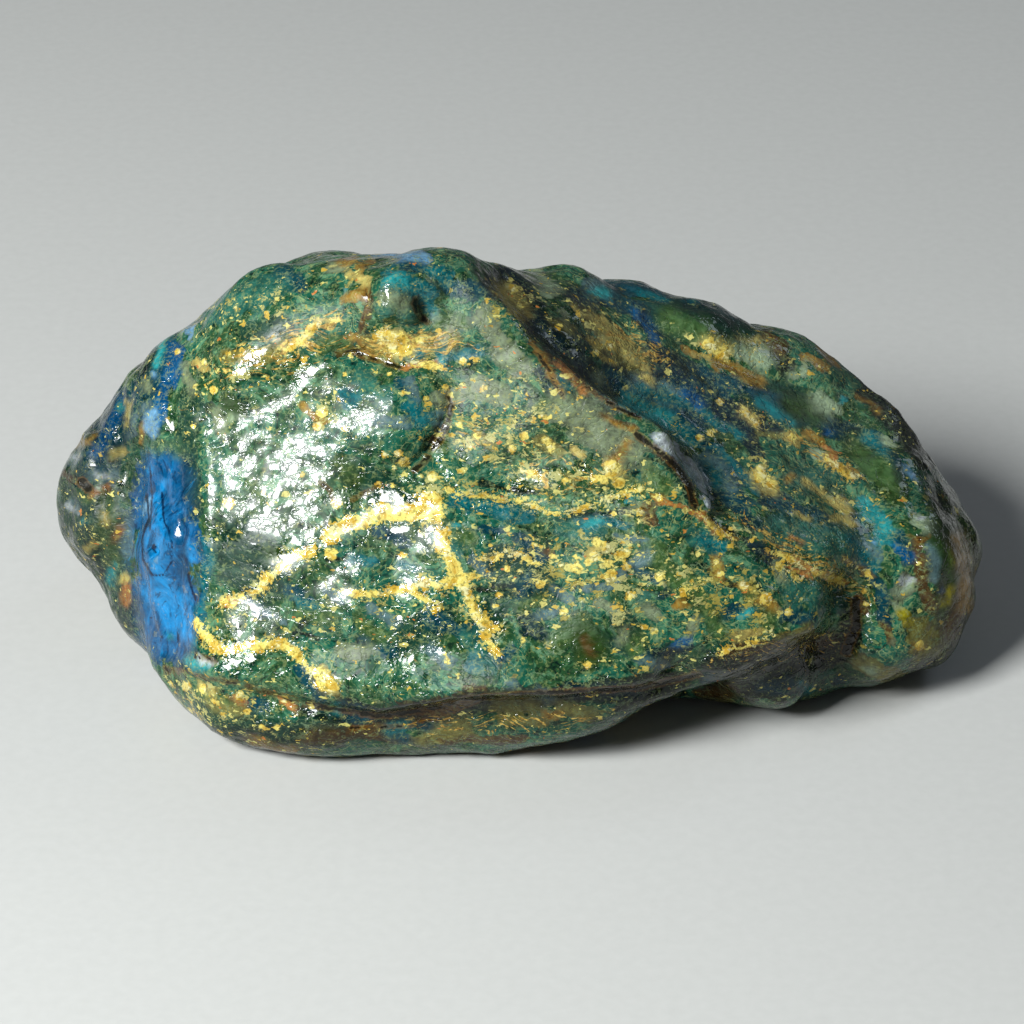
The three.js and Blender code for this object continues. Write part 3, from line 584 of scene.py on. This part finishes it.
# Painted shade: the ledge shade, drop shade and bead shade lines darken the grooves below those forms; the rest are
# cracks.
CRACKS = {
    "crack": ([(451, 404), (448, 424), (440, 440), (430, 453), (424, 462), (414, 470)], 0.2),
    "crack above": ([(447, 388), (451, 404)], 0.1),
    "fold": ([(338, 353), (352, 350), (364, 356), (380, 361), (400, 367)], 0.14),
    "shine crack": ([(320, 482), (330, 490), (334, 502)], 0.08),
    "head crack": ([(352, 500), (366, 492), (380, 484)], 0.06),
    "lip seam": ([(536, 350), (552, 376), (564, 398)], 0.12),
    "lip seam low": ([(636, 434), (655, 448), (676, 466), (690, 486), (694, 506)], 0.22),
    "lip seam outer": ([(566, 362), (584, 384), (606, 402), (640, 418)], 0.1),
    "ledge shade": ([(300, 704), (380, 716), (430, 710), (470, 698), (560, 692), (640, 688), (700, 674)], 0.16),
    "ledge shade left": ([(165, 668), (200, 676), (250, 686), (300, 704)], 0.06),
    "belly": ([(350, 728), (410, 726), (450, 712), (480, 700)], 0.08),
    "drop": ([(147, 494), (149, 518), (142, 538), (143, 560), (152, 575), (164, 575), (172, 561), (172, 540),
              (164, 520), (162, 492)], 0.09),
    "drop dot": ([(154, 546), (155, 552)], 0.2),
    "blue wrinkle": ([(150, 466), (152, 496), (150, 530)], 0.06),
    "blue wrinkle right": ([(188, 574), (192, 590), (196, 600)], 0.1),
    "blue wrinkle middle": ([(166, 600), (156, 614), (148, 620)], 0.05),
    "blue ring": ([(160, 640), (164, 632), (172, 629), (179, 633), (179, 641), (172, 646), (164, 645), (160, 640)], 0.05),
    "blue foot": ([(196, 656), (210, 660), (216, 664)], 0.18),
    "blue foot left": ([(166, 670), (178, 672)], 0.2),
    "nose pit": ([(82, 482), (88, 488)], 0.4),
    "drop shade": ([(416, 298), (414, 304), (420, 316), (428, 323)], 0.16),
    "knob left": ([(366, 286), (367, 302), (362, 322)], 0.06),
    "nugget": ([(643, 506), (644, 518), (652, 524)], 0.12),
    "recess": ([(856, 600), (856, 626), (846, 652)], 0.4),
    "bead shade": ([(908, 536), (920, 541), (930, 536)], 0.06),
}

# %% Work out every point's paint
from mathutils import Vector, noise

FAR_AWAY = 5.0                                      # millimetres from any vein, where none is seen
BRUSH_SHAKE = [(2.2, 5.0), (0.9, 3.0)]              # size in millimetres of what pushes the strokes, and how far, in pixels


def wild_values(places, size, low, high, seed):
    """Soft patches of noise that fill the hidden side."""
    values = [noise.noise(Vector(place) / (size * MM) + Vector((seed, 0, 0))) for place in places]
    return smoothstep(np.array(values), low, high)


def wild_line(places, size, half_width, low, high, seed):
    """How far the hidden side's points lie from winding lines, which run where noise changes its sign."""
    values = [noise.noise(Vector(place) / (size * MM) + Vector((seed, 0, 0))) for place in places]
    broken = wild_values(places, size, low, high, seed + 7.0)
    return np.abs(values) * size - half_width + FAR_AWAY * (1.0 - broken)


def store(piece, name, values):
    layer = piece.data.attributes.new(name, "FLOAT", "POINT")
    layer.data.foreach_set("value", values.astype(np.float32))


def store_colour(piece, name, values):
    layer = piece.data.attributes.new(name, "FLOAT_COLOR", "POINT")
    layer.data.foreach_set("color", np.append(values, np.ones((len(values), 1)), axis=1).astype(np.float32).ravel())


places = points_of(crust)
pixels = seen_at(places)
seen = smoothstep(normals_of(crust) @ back, 0.0, 0.25)
shaken = pixels.copy()
for size, reach in BRUSH_SHAKE:
    shaken += reach * np.array([noise.noise_vector(Vector(place) / (size * MM))[:2] for place in places])

# %% Lay the washes, dark to light
wash = np.zeros((len(places), 3))
cover = np.zeros(len(places))


def lay(name, amount):
    """Covers what is there with a colour of the palette, where amount is 1."""
    global wash, cover
    base = np.array(colour(*PALETTE[name])[:3]) / FULL_LIGHT
    wash = np.where(cover[:, None] > 0, wash, base)
    wash = wash + (base - wash) * amount[:, None]
    cover = np.maximum(cover, amount)


for index, (name, size, low, high) in enumerate(HIDDEN_SIDE_WASHES):
    lay(name, (1.0 - seen) * wild_values(places, size, low, high, 17.0 * index))
for name, strokes in WASHES.items():
    for half_width, *path in strokes:
        far = path_distance(shaken, np.reshape(path, (-1, 2))) / half_width
        lay(name, seen * np.exp(-0.7 * far ** 3))
store_colour(crust, "wash", wash)
store(crust, "cover", cover)
print("washes cover", round(float(np.mean(cover)), 2), "of the crust")

# %% Store the ovals, veins and cracks
for seed, (paint, patches) in enumerate(PATCHES.items()):
    painted = np.zeros(len(places))
    for middle, radii, turn, strength in patches:
        painted = np.maximum(painted, strength * np.exp(-0.7 * spot_distance(pixels, middle, radii, turn) ** 2.5))
    hidden = wild_values(places, *WILD[paint], 13.0 * seed)
    store(crust, paint, seen * painted + (1.0 - seen) * hidden)
for seed, (name, lines) in enumerate({"vein": VEINS, "crack": CRACKS}.items()):
    outside = np.full(len(places), FAR_AWAY)
    for path, half_width in lines.values():
        outside = np.minimum(outside, path_distance(pixels, path) / PIXELS_PER_MM - half_width)
    hidden = wild_line(places, *WILD_LINES[name], 50.0 + seed)
    store(crust, name, outside * seen + hidden * (1.0 - seen))
outside = np.full(len(places), FAR_AWAY)
for x, y, radius in SEEDS:
    outside = np.minimum(outside, (np.linalg.norm(pixels - (x, y), axis=1) - radius) / PIXELS_PER_MM)
store(crust, "seed", outside * seen + FAR_AWAY * (1.0 - seen))
print("paint stored:", [layer.name for layer in crust.data.attributes if layer.data_type.startswith("FLOAT")])

# %% [markdown]
# ## Writing a material as sums
#
# A material is a tree of nodes. Wiring it by hand is slow to read, so one small class stands for a wire that carries
# a number: a sum or product of wires adds the Math node that it needs.

# %% The wire and the finish
class Wire:
    """A number that changes over the surface."""

    def __init__(self, finish, socket):
        self.finish, self.socket = finish, socket

    def math(self, operation, *others, clamped=False):
        values = dict(enumerate((self, *others)))
        settings = {"operation": operation, "use_clamp": clamped}
        return self.finish.add("ShaderNodeMath", settings, values)

    def __add__(self, other):
        return self.math("ADD", other)

    def __sub__(self, other):
        return self.math("SUBTRACT", other)

    def __rsub__(self, other):
        return self.math("MULTIPLY_ADD", -1.0, other)

    def __mul__(self, other):
        return self.math("MULTIPLY", other)

    __radd__ = __add__
    __rmul__ = __mul__

    def steps(self, low, high):
        """0 below low and 1 above high, with a soft step between them; low may be the greater."""
        return self.finish.add("ShaderNodeMapRange", {"interpolation_type": "SMOOTHSTEP"},
                               {"Value": self, "From Min": low, "From Max": high})


class Finish:
    """A material under construction."""

    def __init__(self, name):
        self.material = bpy.data.materials.new(name)
        self.material.use_nodes = True
        self.tree = self.material.node_tree
        self.tree.nodes.clear()

    def add(self, kind, settings=None, values=None, output=0):
        node = self.tree.nodes.new(kind)
        for name, setting in (settings or {}).items():
            setattr(node, name, setting)
        for name, value in (values or {}).items():
            if isinstance(value, Wire):
                self.tree.links.new(value.socket, node.inputs[name])
            else:
                node.inputs[name].default_value = value
        return Wire(self, node.outputs[output])

    def show(self, shader):
        output = self.tree.nodes.new("ShaderNodeOutputMaterial")
        self.tree.links.new(shader.socket, output.inputs["Surface"])

    def paint(self, name, output="Fac"):
        return self.add("ShaderNodeAttribute", {"attribute_name": name}, output=output)

    def noise(self, place, size, detail=2.0, roughness=0.5, distortion=0.0, output="Fac"):
        """Noise with lumps of a size in millimetres."""
        return self.add("ShaderNodeTexNoise", {}, {"Vector": place, "Scale": 1.0 / size, "Detail": detail,
                        "Roughness": roughness, "Distortion": distortion}, output)

    def vector(self, operation, first, second):
        values = {0: first, "Scale" if operation == "SCALE" else 1: second}
        return self.add("ShaderNodeVectorMath", {"operation": operation}, values)

    def mix(self, share, first, second, blend="MIX"):
        """A colour between two others."""
        sockets = {"Factor": 0, "A": 6, "B": 7}
        values = {sockets["Factor"]: share, sockets["A"]: first, sockets["B"]: second}
        return self.add("ShaderNodeMix", {"data_type": "RGBA", "blend_type": blend}, values, output=2)

# %% [markdown]
# ## The finish of the crust
#
# Seen close, the crust is a sandy green body with two kinds of gold in it, single angular crumbs and a lacy rash of
# tiny ones, with smooth olive windows where the resin is clear. The blue patches are the resin's own glow. Over it
# all lies a wet gloss that is broken by small lumps. The body is opaque here, because the photograph shows nothing
# through it. The crumbs are cells of a Voronoi pattern that are switched on where the gold paint is strong, so they
# stay crisp at any distance, where an image would blur.

# %% Coordinates in millimetres, with a swirl
amber = Finish("amber crust")
place = amber.vector("SCALE", amber.add("ShaderNodeTexCoord", output="Object"), 1.0 / MM)


def swirled(start, size, reach):
    """Places that are pushed about by noise, so that what is drawn on them flows."""
    push = amber.vector("SUBTRACT", amber.noise(start, size, detail=1.0, output="Color"), (0.5, 0.5, 0.5))
    return amber.vector("ADD", start, amber.vector("SCALE", push, reach))


flow = swirled(place, 5.0, 6.0)
LAID_DOWN = (0.8, 0.8, 1.3)                         # the crumbs lie flat in the resin's layers
ragged = swirled(amber.vector("MULTIPLY", place, LAID_DOWN), 0.5, 0.9)

# %% Grain at four sizes
cloud = amber.noise(flow, 6.0, detail=3.0)
mottle = amber.noise(flow, 1.5, detail=4.0, roughness=0.65)
lace = amber.noise(ragged, 1.3, detail=4.0, roughness=0.75)
grit = amber.noise(place, 0.4, detail=2.0, roughness=0.6)


def painted(name, edge=0.4):
    """A patch of paint whose soft edge is broken up by the mottle: 0 outside it and 1 inside."""
    return (amber.paint(name) + (mottle - 0.5) * 1.4 + (lace - 0.5) * 0.8).steps(edge, edge + 0.2)


def threads(start, size, width):
    """Thin winding lines, where noise of a size in millimetres crosses its middle value."""
    off_middle = (amber.noise(start, size, detail=2.0) - 0.5).math("ABSOLUTE")
    return off_middle.steps(width, width * 0.3)


gold_paint = amber.paint("gold")
clear = painted("clear", 0.5)
blue = painted("blue", 0.45)
rough_share = 1.0 - clear * 0.85

# %% The green body
green = amber.mix(cloud.steps(0.42, 0.58), colour(34, 62, 38), colour(24, 74, 60))
green = amber.mix(mottle.steps(0.46, 0.3), green, colour(12, 30, 26))
green = amber.mix(mottle.steps(0.5, 0.66) * 0.8, green, colour(78, 118, 88))
green = amber.mix(threads(flow, 2.6, 0.02) * 0.6, green, colour(8, 24, 24))
green = amber.mix(threads(flow, 1.7, 0.018) * cloud.steps(0.4, 0.6) * 0.6, green, colour(124, 140, 92))

# %% The washes over it
wash = amber.vector("SCALE", amber.paint("wash", "Color"), mottle * 2.4 - 0.2)
body = amber.mix(painted("cover", 0.4) * 0.9, green, wash)

# %% Grain and pale threads over both
rough_share = rough_share * (1.0 - blue * 0.9)
body = amber.mix(threads(ragged, 1.9, 0.016) * rough_share * 0.5, body, colour(100, 118, 88))
body = amber.mix(grit.steps(0.52, 0.66) * rough_share * 0.36, body, colour(116, 126, 78))
body = amber.mix(grit.steps(0.45, 0.32) * rough_share * 0.34, body, colour(8, 22, 18))

# Painted shade: the body is darkened towards a dark teal under the shade ovals on the nose, underside, right end and
# valley; on the hidden side the same paint gives random darker patches of resin.
body = amber.mix(painted("dark_resin_and_painted_shade") * 0.5, body, colour(6, 16, 18))

# %% Fine streaks down the blue facet
STREAK = (3.0, 3.0, 0.7)                            # how much finer the streaks are across than along
streaks = amber.noise(amber.vector("MULTIPLY", flow, STREAK), 2.0, detail=4.0, roughness=0.65)
body = amber.mix(blue * streaks.steps(0.46, 0.36) * 0.6, body, colour(0, 26, 48))
body = amber.mix(blue * streaks.steps(0.56, 0.68) * 0.4, body, colour(16, 110, 160))

# %% Gold crumbs and gold lace
def crumbs(size, most, hold):
    """Cells of a size in millimetres, of which a share is switched on that grows with the gold paint."""
    settings = {"voronoi_dimensions": "3D", "feature": "F1", "distance": "MANHATTAN"}
    values = {"Vector": ragged, "Scale": 1.0 / size, "Randomness": 1.0}
    far = amber.add("ShaderNodeTexVoronoi", settings, values, output="Distance")
    chances = {"Color": Wire(amber, far.socket.node.outputs["Color"])}
    chance, breadth, tone = (amber.add("ShaderNodeSeparateColor", {}, chances, output=channel)
                             for channel in ("Red", "Green", "Blue"))
    switched_on = (chance - (gold_paint * most + hold)).steps(0.02, -0.02)
    return switched_on * (far - breadth * 0.35).steps(0.36, 0.24), tone


plain = (1.0 - clear) * (1.0 - blue * 0.85)
large, large_tone = crumbs(0.9, 0.4, 0.02)
small, small_tone = crumbs(0.45, 0.36, 0.05)
gold_mask = large.math("MAXIMUM", small)
tone = large_tone * large + small_tone * (1.0 - large)
lace_mask = (lace + gold_paint * 0.13).steps(0.63, 0.69)
gold = amber.mix(tone.steps(0.66, 0.68), colour(172, 166, 96), colour(164, 138, 58))
gold = amber.mix(tone.steps(0.93, 0.94), gold, colour(156, 96, 48))
gold = amber.mix(grit.steps(0.52, 0.34) * 0.6, gold, colour(92, 74, 36))
lace_gold = amber.mix(cloud.steps(0.4, 0.62), colour(152, 150, 96), colour(136, 124, 58))
body = amber.mix(lace_mask * plain * 0.85, body, lace_gold)
body = amber.mix(gold_mask * plain * 0.95, body, gold)

# %% Gold streaks, drawn out along the arch of the lump
ARCH_CENTRE = (2.0, 0.0, -22.0)                     # in millimetres, far below the lump
SQUEEZE = 1.6                                       # how much finer the streaks are across than along
flat_place = amber.vector("MULTIPLY", flow, (1.0, 0.0, 1.0))
arch = amber.add("ShaderNodeVectorMath", {"operation": "DISTANCE"}, {0: flat_place, 1: ARCH_CENTRE}, output="Value")
drawn_out = amber.vector("ADD", amber.vector("SCALE", flow, 0.6), amber.vector("SCALE", (1.0, 1.0, 1.0), arch * SQUEEZE))
strand = amber.noise(drawn_out, 0.9, detail=3.0, roughness=0.7)
streak_mask = (strand + amber.paint("streaks") * 0.2).steps(0.7, 0.75)
body = amber.mix(streak_mask * plain * 0.8, body, amber.mix(grit.steps(0.4, 0.6), colour(128, 98, 44), colour(178, 148, 74)))

# %% Veins with frayed edges and dust beside them
vein_edge = amber.paint("vein") - 0.06 + (lace - 0.5) * 1.9 + (mottle - 0.5) * 1.3 + (grit - 0.5) * 0.4
seed_edge = amber.paint("seed") + (lace - 0.5) * 1.2 + (mottle - 0.5) * 0.6
vein = vein_edge.steps(0.06, -0.06).math("MAXIMUM", seed_edge.steps(0.1, -0.06))
dust = vein_edge.steps(0.8, 0.2) * grit.steps(0.55, 0.6) * 0.7
vein_colour = amber.mix(mottle.steps(0.36, 0.56), colour(158, 126, 44), colour(190, 176, 92))
vein_colour = amber.mix(lace.steps(0.5, 0.6) * 0.7, vein_colour, colour(196, 198, 156))
vein_colour = amber.mix(grit.steps(0.48, 0.34) * 0.7, vein_colour, colour(96, 88, 40))
body = amber.mix(dust.math("MAXIMUM", vein), body, vein_colour)

# %% Cracks with a rusty rim, and painted shade lines below the ledge, the drop and the bead
crack_and_shade_line_far = amber.paint("crack") + (mottle - 0.5) * (0.6 - blue * 0.5) + (grit - 0.5) * 0.2
body = amber.mix(crack_and_shade_line_far.steps(0.3, 0.1) * (1.0 - blue) * 0.3, body, colour(112, 76, 30))
body = amber.mix(crack_and_shade_line_far.steps(0.1, -0.05) * 0.9, body, amber.mix(blue, colour(16, 18, 14), colour(4, 22, 44)))

# %% Relief and gloss
SKIN_BUMPS = [(1.9, 0.16), (0.8, 0.055), (0.38, 0.012)]    # size and height in millimetres
GRAIN_SIZE, GROOVE, GROOVE_DEPTH = 1.5, 0.12, 0.03   # grains with thin grooves between them
between = amber.add("ShaderNodeTexVoronoi", {"feature": "DISTANCE_TO_EDGE"},
                    {"Vector": ragged, "Scale": 1.0 / GRAIN_SIZE}, output="Distance")
rough_skin = amber.paint("blue").steps(0.7, 0.3)
relief = amber.paint("vein").steps(0.3, -0.2) * 0.03 + between.steps(0.0, GROOVE) * GROOVE_DEPTH * rough_skin
for size, height in SKIN_BUMPS:
    relief = relief + amber.noise(place, size, detail=1.0) * height
bump = amber.add("ShaderNodeBump", {}, {"Strength": 1.0, "Distance": MM, "Height": relief}, output="Normal")
roughness = 0.08 + mottle.steps(0.4, 0.7) * 0.08 + gold_mask * 0.05 + painted("matte") * 0.4
shader = amber.add("ShaderNodeBsdfPrincipled", {}, {"Base Color": body, "Roughness": roughness, "IOR": 1.54,
                   "Specular IOR Level": 0.25, "Coat Weight": painted("wet") * 0.36, "Coat Roughness": 0.32,
                   "Normal": bump}, output="BSDF")
amber.show(shader)

crust.data.materials.clear()
crust.data.materials.append(amber.material)
print("crust material:", len(amber.tree.nodes), "nodes")

# %% Hand the crust to the frame
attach(crust, "root")
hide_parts("amber_lump")

# %% [markdown]
# ## Floor and light
#
# The photograph is lit by one large light, high at the upper left, whose reflection fills the left half of the big
# face, and by a dim cool light from behind. A soft box is an area light, so two of them and a dim grey world do.
# The floor is plain and pale.

# %% Floor
FLOOR_SIZE = 3.0
bpy.ops.mesh.primitive_plane_add(size=FLOOR_SIZE, location=(0, 0, 0))
floor = bpy.context.object
floor.name = "floor"
paper = Finish("pale paper")
paper_place = paper.vector("SCALE", paper.add("ShaderNodeTexCoord", output="Object"), 1.0 / MM)
fibre = paper.noise(paper_place, 1.2, detail=2.0)
paper_shader = paper.add("ShaderNodeBsdfPrincipled", {}, {
    "Base Color": paper.mix(fibre, (0.40, 0.40, 0.39, 1.0), (0.44, 0.44, 0.43, 1.0)), "Roughness": 0.8}, output="BSDF")
paper.show(paper_shader)
floor.data.materials.append(paper.material)

# %% Lights
def soft_box(name, azimuth, elevation, distance, size, power, tint):
    """An area light that looks at the lump from an azimuth and elevation in degrees."""
    _, _, towards = view_axes(math.radians(azimuth), math.radians(elevation))
    middle = Vector(LOOKED_AT)
    direction = Vector(towards)
    bpy.ops.object.light_add(type="AREA", location=middle + direction * distance,
                             rotation=direction.to_track_quat("Z", "Y").to_euler())
    lamp = bpy.context.object
    lamp.name = name
    lamp.data.shape = "RECTANGLE"
    lamp.data.size, lamp.data.size_y = size
    lamp.data.energy = power
    lamp.data.color = tint
    return lamp


soft_box("key light", -46, 38, 0.6, (0.2, 0.2), 8.2, (0.97, 1.0, 0.99))
soft_box("cool back light", 124, 40, 0.6, (0.2, 0.16), 0.35, (0.75, 0.88, 1.0))

world = bpy.data.worlds.new("dim room")
world.use_nodes = True
world.node_tree.nodes["Background"].inputs["Color"].default_value = (0.9, 0.95, 1.0, 1.0)
world.node_tree.nodes["Background"].inputs["Strength"].default_value = 0.1
bpy.context.scene.world = world
bpy.context.scene.view_settings.view_transform = "Standard"
